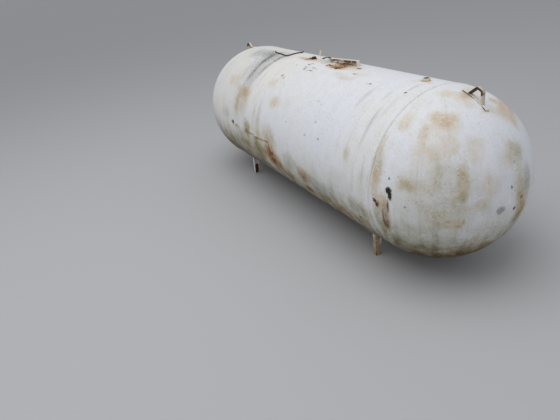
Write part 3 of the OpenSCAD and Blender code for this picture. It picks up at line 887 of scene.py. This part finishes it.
# %% Paint of the pads and of what is left of the hood
pad_paint = worn_material("pad_paint", 0.30, tone(150, 142, 122), BROWN)
post_paint = worn_material("post_paint", 0.14, CHALK_WHITE, BROWN)
tab_paint = worn_material("tab_paint", 0.12, CREAM, BROWN)


def rail_wear_and_shade(mixer, point):
    """Worn on its side, dark with rust and painted shade; kept on its flat top."""
    uneven = mixer.step(mixer.noise(point, 60.0, 4.0, 0.6), 0.40, 0.56)
    side = uneven * 0.42 + 0.42
    # Its upright side is dark with rust and painted shade; its flat top keeps its paint.
    flat_top = mixer.step(facing(mixer)[2], 0.3, 0.8)
    return (0.16 - side) * flat_top + side


rail_paint = worn_material("rail_paint", rail_wear_and_shade, WARM_WHITE, tone(146, 124, 104))

# %% [markdown]
# Bare old steel: the stub coupling, its plug, the end plug and the bent rod have no paint left.
# The rod is nearly black; the plugs are dark brown with a few orange specks.

# %% Rusty steel
plug_steel = worn_material("plug_steel", 0.85, tone(126, 112, 98), tone(84, 60, 46))
rod_steel = worn_material("rod_steel", 0.90, tone(96, 88, 82), tone(70, 54, 46))
rust_weld = worn_material("rust_weld", 0.42, tone(196, 176, 150), BROWN)

# %% [markdown]
# Couplings are short pipes with a thread inside. Their outside wears the tank's paint, while the
# bore is dark rust and painted shade. A group finds the bore by the distance from the coupling's own
# axis, which is read from the solid, so the dark edge follows the rim whatever the coupling's size.

# %% Group: inside a bore
bore_group, mix, given, result = new_group(
    "bore", dict(Point="Vector", Centre="Vector", Radius="Float"), dict(Inside="Float")
)
flat_off = (given["Point"] - given["Centre"]) * (1.0, 1.0, 0.0)
distance = mix.of("VectorMath", {"operation": "LENGTH"}, 1, Vector=flat_off)
wavy = mix.noise(given["Point"], 90.0, 3.0) * 0.003 + distance
low_edge = given["Radius"] + 0.0010
high_edge = given["Radius"] + 0.0024
feed(result["Inside"], mix.step(wavy, low_edge, high_edge, 1.0, 0.0))
count("bore", bore_group)


def node_axis(name):
    """Where an upright round piece stands, and its outer radius."""
    low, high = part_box(name)
    return Vector(((low.x + high.x) / 2, (low.y + high.y) / 2, 0)), (high.x - low.x) / 2


def coupling_material(node, bore, outside_bare, paint_tone, inside_rust_and_shade=0.95):
    """A coupling's finish: one amount of open steel outside, another in the bore, whose dark is also
    painted shade.
    """
    axis, outer = node_axis(node)

    def wear_and_shade(mixer, point):
        # Inside the bore the finish darkens to rust and painted shade.
        inside = mixer.group(bore_group, Point=point, Centre=axis, Radius=bore)["Inside"]
        return inside * (inside_rust_and_shade - outside_bare) + outside_bare

    print(node, "radius", round(outer, 4))
    return worn_material(node + "_paint", wear_and_shade, paint_tone, BROWN)


centre_bore = 0.032
stub_bore = 0.0135
end_bore = 0.014
centre_paint = coupling_material("centre_coupling", centre_bore, 0.22, CHALK_WHITE, 0.80)
stub_paint = coupling_material("stub_coupling", stub_bore, 0.72, TAN)
end_paint = coupling_material("end_coupling", end_bore, 0.26, WARM_WHITE)
white_plug_paint = worn_material("white_plug_paint", 0.13, COOL_WHITE, BROWN)

# %% [markdown]
# The rippled welds, the threads and the loose rust are grown by Geometry Nodes, and their trees
# are written with the same short calls. Each tree ends as real meshes with their material. What
# it grows is kept as a plain mesh and the modifier is taken off again.


# %% Helper: from a tree to a plain mesh
def new_tree(name, **inputs):
    """A Geometry Nodes tree that takes a geometry and some named sizes."""
    given_sockets = dict(Geometry="Geometry", **inputs)
    return new_group(name, given_sockets, dict(Geometry="Geometry"), "GeometryNodeTree")


def close(mixer, result, geometry, material):
    """The tree's end: real meshes instead of instances, and their material."""
    real = mixer.of("RealizeInstances", Geometry=geometry)
    feed(result["Geometry"], mixer.of("SetMaterial", Geometry=real, Material=material))


def grow(name, mesh, tree, **sizes):
    """Runs a tree on a mesh, keeps its result as a plain mesh and lets it ride on the tank."""
    piece = bpy.data.objects.new(name, mesh)
    bpy.context.scene.collection.objects.link(piece)
    modifier = piece.modifiers.new("grow", "NODES")
    modifier.node_group = tree
    for item in tree.interface.items_tree:
        if item.in_out == "INPUT" and item.name in sizes:
            modifier[item.identifier] = sizes[item.name]
    bpy.context.view_layer.update()
    graph = bpy.context.evaluated_depsgraph_get()
    grown = bpy.data.meshes.new_from_object(piece.evaluated_get(graph), depsgraph=graph)
    piece.modifiers.remove(modifier)
    piece.data = grown
    grown.name = name
    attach(piece, "root")
    print(name, len(grown.polygons), "faces")
    return piece


# %% [markdown]
# The weld beads. A bead laid by hand is a row of frozen ripples, each a crescent that bows back
# against the travel. Geometry Nodes make it: a path along the seam is cut into steps, and one
# small crescent is set on each step, squared to the path and to the plate. A swept tube would be
# quicker, but it would have no ripples, and these are what the eye knows a weld by.

# %% Tree: ripples along a path
ripple_tree, mix, given, result = new_tree(
    "ripples_along_path", Pitch="Float", Width="Float", Height="Float", Bow="Float",
    Unevenness="Float", Seed="Int", Weld="Material",
)
curve = mix.of("MeshToCurve", Mesh=given["Geometry"])
steps = mix.of("ResampleCurve", {"mode": "LENGTH"}, Curve=curve, Length=given["Pitch"])
drop = mix.of("MeshIcoSphere", Radius=1.0, Subdivisions=2)
across = mix.apart(mix.of("InputPosition"))[1]
bowed_back = mix.vector(across * across * -given["Bow"], 0.0, 0.0)
crescent = mix.of("SetPosition", Geometry=drop, Offset=bowed_back)
smooth = mix.of("SetShadeSmooth", Geometry=crescent)
plate_way = mix.of("InputNamedAttribute", {"data_type": "FLOAT_VECTOR"}, Name="outward")
upright = mix.of("FunctionNodeAlignRotationToVector", {"axis": "Z"}, Vector=plate_way)
squared = mix.of(
    "FunctionNodeAlignRotationToVector", {"axis": "X", "pivot_axis": "Z"},
    Rotation=upright, Vector=mix.of("InputTangent"),
)
smallest = 1.0 - given["Unevenness"]
long_share = mix.chance(smallest, 1.0, given["Seed"])
wide_share = mix.chance(smallest, 1.0, given["Seed"] + 1.0)
high_share = mix.chance(smallest, 1.0, given["Seed"] + 2.0)
size = mix.vector(
    given["Pitch"] * (long_share * 0.95), given["Width"] * (wide_share * 0.5), given["Height"] * high_share
)
row = mix.of("InstanceOnPoints", Points=steps, Instance=smooth, Rotation=squared, Scale=size)
close(mix, result, row, given["Weld"])
count("ripples", ripple_tree)

# %% [markdown]
# The tree needs a path with the plate's outward direction at each of its points. A path here is a
# list of such pairs, and its mesh is only a row of corners and edges. Places on the cylinder are
# given by how far along the tank they lie and by their angle from the crown.


# %% Helper: paths on the plate
def on_cylinder(x, angle, radius):
    """A point on the tank's side, its angle measured from the crown to the back."""
    way = Vector((0, math.sin(angle), math.cos(angle)))
    return Vector((x, 0, axis_height)) + way * radius, way


def path_mesh(name, paths):
    """Paths as one mesh of edges; a path is its (point, outward way) rows, and closed or not."""
    corners = []
    ways = []
    edges = []
    for rows, closed in paths:
        first = len(corners)
        corners.extend(point for point, way in rows)
        ways.extend(way for point, way in rows)
        last = len(corners) - 1
        edges.extend((i, i + 1) for i in range(first, last))
        if closed:
            edges.append((last, first))
    mesh = bpy.data.meshes.new(name)
    mesh.from_pydata(corners, edges, [])
    layer = mesh.attributes.new("outward", "FLOAT_VECTOR", "POINT")
    for i, way in enumerate(ways):
        layer.data[i].vector = way
    return mesh


def weld(name, paths, pitch, width, height, material, seed, unevenness=0.12):
    """A rippled bead along some paths."""
    return grow(
        name, path_mesh(name, paths), ripple_tree, Pitch=pitch, Width=width, Height=height,
        Bow=0.7, Unevenness=unevenness, Seed=seed, Weld=material,
    )


# %% [markdown]
# The two girth seams join the heads to the cylinder, all the way round. They were laid by a
# machine while the tank turned, so the ripples are even. These pieces stand for the plain beads
# of the solid model, in the same place, with the crest at the same height.

# %% Girth welds and the lengthwise weld
SIDES = (("left", -1), ("right", 1))
SINK = 0.0002
BEAD_PITCH = 0.0052
ring_steps = 360
line_steps = 40


def seam_bead(name, rows, closed, node, seed):
    """A machine-laid bead that stands for the plain weld of the solid model."""
    height = bead_height + SINK
    bead = weld(name, [(rows, closed)], BEAD_PITCH, bead_width, height, weld_paint, seed)
    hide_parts(node)


for side_name, side in SIDES:
    ring = [
        on_cylinder(side * seam_place, math.tau * i / ring_steps, tank_radius - SINK)
        for i in range(ring_steps)
    ]
    seam_bead(side_name + "_girth_bead", ring, True, side_name + "_girth_weld", 3 + side)

seam_low, seam_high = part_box("long_seam_weld")
seam_middle = (seam_low + seam_high) / 2
long_angle = math.atan2(seam_middle.y, seam_middle.z - axis_height)
seam_run = seam_high.x - seam_low.x
line = [
    on_cylinder(seam_low.x + seam_run * i / line_steps, long_angle, tank_radius - SINK)
    for i in range(line_steps + 1)
]
seam_bead("long_bead", line, False, "long_seam_weld", 9)
print("lengthwise seam at", round(math.degrees(long_angle), 1), "degrees from the crown")

# %% [markdown]
# Fillet welds fill the corner where a fitting meets the plate. Round a coupling the path is the
# line where an upright pipe cuts the cylinder, so its height follows the plate's curve. The bead
# looks halfway between the plate and the pipe's side. These were laid by hand, so they are uneven.

# %% Fillets round the couplings
BY_HAND = 0.3


def pipe_path(node, steps=72):
    """The line where an upright pipe meets the cylinder."""
    axis, outer = node_axis(node)
    rows = []
    for i in range(steps):
        angle = math.tau * i / steps
        out = Vector((math.cos(angle), math.sin(angle), 0))
        y = axis.y + outer * out.y
        plate = Vector((0, y, math.sqrt(tank_radius ** 2 - y ** 2)))
        point = Vector((axis.x + outer * out.x, y, axis_height + plate.z))
        rows.append((point, (plate.normalized() + out).normalized()))
    return rows, True


for name, pitch, width, height, material, seed in (
    ("centre", 0.0042, 0.010, 0.0034, weld_paint, 11),
    ("stub", 0.0040, 0.009, 0.0030, rust_weld, 12),
    ("end", 0.0040, 0.009, 0.0030, rust_weld, 13),
):
    path = pipe_path(name + "_coupling")
    weld(name + "_fillet", [path], pitch, width, height, material, seed, BY_HAND)


# %% [markdown]
# A strap is welded to the head along its two long sides, and a loop to the strap across its two
# feet. The strap's own place is read from its solid: turn it upright round the tank's axis, then
# its sides are lines of even width over the round head.


# %% Fillets of the lugs
def strap_sides(side_name, side, steps=24):
    """The two long sides of a strap, as paths on the head."""
    middle = Vector((side * seam_place, 0, axis_height))
    spots = [vertex.co - middle for vertex in nodes[side_name + "_lug_strap"].data.vertices]
    mean = sum(spots, Vector()) / len(spots)
    lean = math.atan2(mean.y, mean.z)
    upright = [Matrix.Rotation(lean, 3, "X") @ spot for spot in spots]
    angles = [math.atan2(side * spot.x, spot.z) for spot in upright]
    half_width = max(abs(spot.y) for spot in upright)
    first, last = min(angles), max(angles)
    span = (round(math.degrees(first), 1), round(math.degrees(last), 1))
    print(side_name, "strap leans", round(math.degrees(lean), 2), "and spans", span, "degrees")

    back = Matrix.Rotation(-lean, 3, "X")
    ring = math.sqrt(tank_radius ** 2 - half_width ** 2)
    paths = []
    for hand in (-1, 1):
        rows = []
        for i in range(steps + 1):
            angle = first + (last - first) * i / steps
            spot = Vector((side * ring * math.sin(angle), hand * half_width, ring * math.cos(angle)))
            way = back @ (spot.normalized() + Vector((0, hand, 0))).normalized()
            rows.append((middle + back @ spot, way))
        paths.append((rows, False))
    return paths


for side_name, side in SIDES:
    paths = strap_sides(side_name, side)
    weld(
        side_name + "_strap_fillet", paths, pitch=0.0040, width=0.008, height=0.0028,
        material=weld_paint, seed=20 + side, unevenness=BY_HAND,
    )


# %% [markdown]
# The pads are welded all round, and the legs to the pads along their folded outline. A path on the
# cylinder is easiest to think of flat: along the tank, and along the girth. It is wrapped round
# the tank at the end.


# %% Fillets of the pads and legs
def rounded_outline(low, high, corner, steps=6):
    """A rounded rectangle: points with their outward directions, in the flat."""
    rows = []
    for cx, cy, start in (
        (high[0] - corner, high[1] - corner, 0), (low[0] + corner, high[1] - corner, 90),
        (low[0] + corner, low[1] + corner, 180), (high[0] - corner, low[1] + corner, 270),
    ):
        for i in range(steps + 1):
            angle = math.radians(start + 90 * i / steps)
            way = (math.cos(angle), math.sin(angle))
            rows.append(((cx + corner * way[0], cy + corner * way[1]), way))
    return rows


def pad_path(node, corner=0.020):
    """The outline of a pad where it meets the shell."""
    spots = [vertex.co for vertex in nodes[node].data.vertices]
    girths = [math.atan2(spot.y, spot.z - axis_height) * tank_radius for spot in spots]
    xs = [spot.x for spot in spots]
    outline = rounded_outline((min(xs), min(girths)), (max(xs), max(girths)), corner)
    rows = []
    for (x, girth), (way_x, way_girth) in outline:
        angle = girth / tank_radius
        point, out = on_cylinder(x, angle, tank_radius)
        round_way = Vector((0, math.cos(angle), -math.sin(angle)))
        rows.append((point, (out + Vector((way_x, 0, 0)) + round_way * way_girth).normalized()))
    return rows, True


def leg_path(node, side, pad_face=0.0053, fold=0.008):
    """The folded outline of a leg where it meets its pad."""
    low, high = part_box(node)
    radius = tank_radius + pad_face
    web_x, tip_x = (high.x, low.x) if side > 0 else (low.x, high.x)
    bend_x = web_x - side * fold
    rows = []
    for x, y, way_x, way_y in (
        (tip_x, low.y, 0, -1), (bend_x, low.y, 0, -1), (web_x, low.y + fold, side, 0),
        (web_x, high.y - fold, side, 0), (bend_x, high.y, 0, 1), (tip_x, high.y, 0, 1),
    ):
        drop = math.sqrt(radius ** 2 - y ** 2)
        down = Vector((0, y, -drop)) / radius
        way = (down + Vector((way_x, way_y, 0))).normalized()
        rows.append((Vector((x, y, axis_height - drop)), way))
    return rows, False


corners = [(side_name + "_" + face, side) for side_name, side in SIDES for face in ("front", "back")]
pad_paths = [pad_path("pad_" + corner) for corner, side in corners]
leg_paths = [leg_path("leg_" + corner, side) for corner, side in corners]
weld(
    "pad_fillets", pad_paths, pitch=0.0046, width=0.009, height=0.0030, material=pad_paint, seed=31,
    unevenness=BY_HAND,
)
weld(
    "leg_fillets", leg_paths, pitch=0.0042, width=0.008, height=0.0030, material=rust_weld, seed=37,
    unevenness=0.35,
)

# %% [markdown]
# Threads. The mouths of the couplings are pipe threads, and a short stretch of each shows above its
# plug. A thread is one ridge wound as a screw line, so the tree turns a spiral into a thin tube.

# %% Tree: a thread
thread_tree, mix, given, result = new_tree(
    "thread", Turns="Float", Radius="Float", Rise="Float", Ridge="Float", Foot="Vector",
    Metal="Material",
)
spiral = mix.of(
    "CurveSpiral", Resolution=40, Rotations=given["Turns"], Start_Radius=given["Radius"],
    End_Radius=given["Radius"], Height=given["Rise"],
)
ridge = mix.of("CurvePrimitiveCircle", Resolution=6, Radius=given["Ridge"])
wound = mix.of("CurveToMesh", Curve=spiral, Profile_Curve=ridge, Fill_Caps=True)
moved = mix.of("SetPosition", Geometry=wound, Offset=given["Foot"])
close(mix, result, mix.of("SetShadeSmooth", Geometry=moved), given["Metal"])
count("thread", thread_tree)


# %% Threads in the couplings
def thread(name, node, bore, turns, pitch, depth_from_rim):
    """A pipe thread just under a coupling's rim."""
    axis = node_axis(node)[0]
    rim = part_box(node)[1].z
    seed_mesh = bpy.data.meshes.new(name)
    seed_mesh.from_pydata([(0, 0, 0)], [], [])
    grow(
        name, seed_mesh, thread_tree, Turns=turns, Radius=bore, Rise=turns * pitch, Ridge=pitch * 0.42,
        Foot=Vector((axis.x, axis.y, rim - depth_from_rim - turns * pitch)), Metal=plug_steel,
    )


thread(
    "centre_thread", "centre_coupling", centre_bore, turns=4.0, pitch=0.0022, depth_from_rim=0.0016
)
thread("end_thread", "end_coupling", end_bore, turns=3.0, pitch=0.0018, depth_from_rim=0.0012)

# %% [markdown]
# Loose scale lies on the crown where the hood stood. Rust comes off steel in thin leaves a few
# millimetres wide, and rain leaves them in drifts. Points are scattered over a patch of the crown,
# thinned out by a noise, and a bent leaf is laid on each.

# %% Tree: rust leaves
leaf_tree, mix, given, result = new_tree(
    "rust_leaves", Density="Float", Small="Float", Large="Float", Thickness="Float", Seed="Int",
    Leaf="Material",
)
points = mix.of(
    "DistributePointsOnFaces", Mesh=given["Geometry"], Density=given["Density"], Seed=given["Seed"]
)
drift = mix.noise(mix.of("InputPosition"), 26.0, 3.0, 0.5)
kept = mix.of(
    "DeleteGeometry", {"domain": "POINT"}, Geometry=points,
    Selection=drift.worked("LESS_THAN", drift, 0.50),
)
sheet = mix.of("MeshCircle", {"fill_type": "NGON"}, Vertices=7, Radius=1.0)
crumple = mix.noise(mix.of("InputPosition"), 1.4, 2.0, 0.5, coloured=True)
shift = crumple * (1.4, 1.4, 0.0) + (-0.7, -0.7, 0.0)
torn_sheet = mix.of("SetPosition", Geometry=sheet, Offset=shift)
thick = mix.of("ExtrudeMesh", Mesh=torn_sheet, Offset_Scale=0.5)
lean_x = mix.chance(-0.12, 0.12, given["Seed"])
lean_y = mix.chance(-0.12, 0.12, 5)
leaf_turn = mix.vector(lean_x, lean_y, mix.chance(0.0, 6.28, 7))
spun = mix.of(
    "FunctionNodeRotateRotation", {"rotation_space": "LOCAL"}, Rotation=points.other("Rotation"),
    Rotate_By=mix.of("FunctionNodeEulerToRotation", Euler=leaf_turn),
)
leaf_size = mix.chance(given["Small"], given["Large"], 9)
leaf_scale = mix.vector(leaf_size, leaf_size, given["Thickness"])
leaves = mix.of("InstanceOnPoints", Points=kept, Instance=thick, Rotation=spun, Scale=leaf_scale)
close(mix, result, leaves, given["Leaf"])
count("rust leaves", leaf_tree)

# %% Rust leaves on the crown
leaf_rust = worn_material("leaf_rust", 0.80, tone(150, 110, 76), tone(124, 78, 48))


def crown_patch(name, low, high, across_steps=10, along_steps=16):
    """A small sheet on the plate, from one (along, towards the back) place to another."""
    corners = []
    for j in range(across_steps + 1):
        for i in range(along_steps + 1):
            x = low[0] + (high[0] - low[0]) * i / along_steps
            y = low[1] + (high[1] - low[1]) * j / across_steps
            corners.append((x, y, axis_height + math.sqrt(tank_radius ** 2 - y ** 2)))
    row = along_steps + 1
    starts = [j * row + i for j in range(across_steps) for i in range(along_steps)]
    faces = [(a, a + 1, a + 1 + row, a + row) for a in starts]
    mesh = bpy.data.meshes.new(name)
    mesh.from_pydata(corners, [], faces)
    return mesh


for name, low, high, density, seed in (
    ("hood_rust_leaves", (0.085, -0.075), (0.285, 0.025), 9000.0, 41),
    ("stub_rust_leaves", (-0.225, -0.035), (-0.175, 0.015), 7000.0, 43),
):
    grow(
        name, crown_patch(name, low, high), leaf_tree, Density=density, Small=0.0016, Large=0.0048,
        Thickness=0.0016, Seed=seed, Leaf=leaf_rust,
    )


# %% [markdown]
# Dress the solids of the frame. Their meshes stay as they are; only the material slot changes.

# %% Dress the solids
legs_and_pads = {"leg_" + corner: leg_paint for corner, side in corners}
legs_and_pads.update({"pad_" + corner: pad_paint for corner, side in corners})
dress = {
    "shell": tank_paint, "left_head": tank_paint, "right_head": tank_paint,
    "left_girth_weld": weld_paint, "right_girth_weld": weld_paint, "long_seam_weld": weld_paint,
    "left_lug_strap": strap_paint, "right_lug_strap": strap_paint,
    "left_lug_loop": lug_paint, "right_lug_loop": lug_paint,
    "centre_coupling": centre_paint, "centre_plug": white_plug_paint,
    "stub_coupling": stub_paint, "stub_plug": plug_steel,
    "end_coupling": end_paint, "end_plug": plug_steel,
    "hood_rail": rail_paint, "hood_post": post_paint, "hinge_tab": tab_paint,
    "bent_rod": rod_steel, **legs_and_pads,
}
for name, material in dress.items():
    mesh = nodes[name].data
    mesh.materials.clear()
    mesh.materials.append(material)
print("dressed solids:", len(dress), "of", len(nodes))
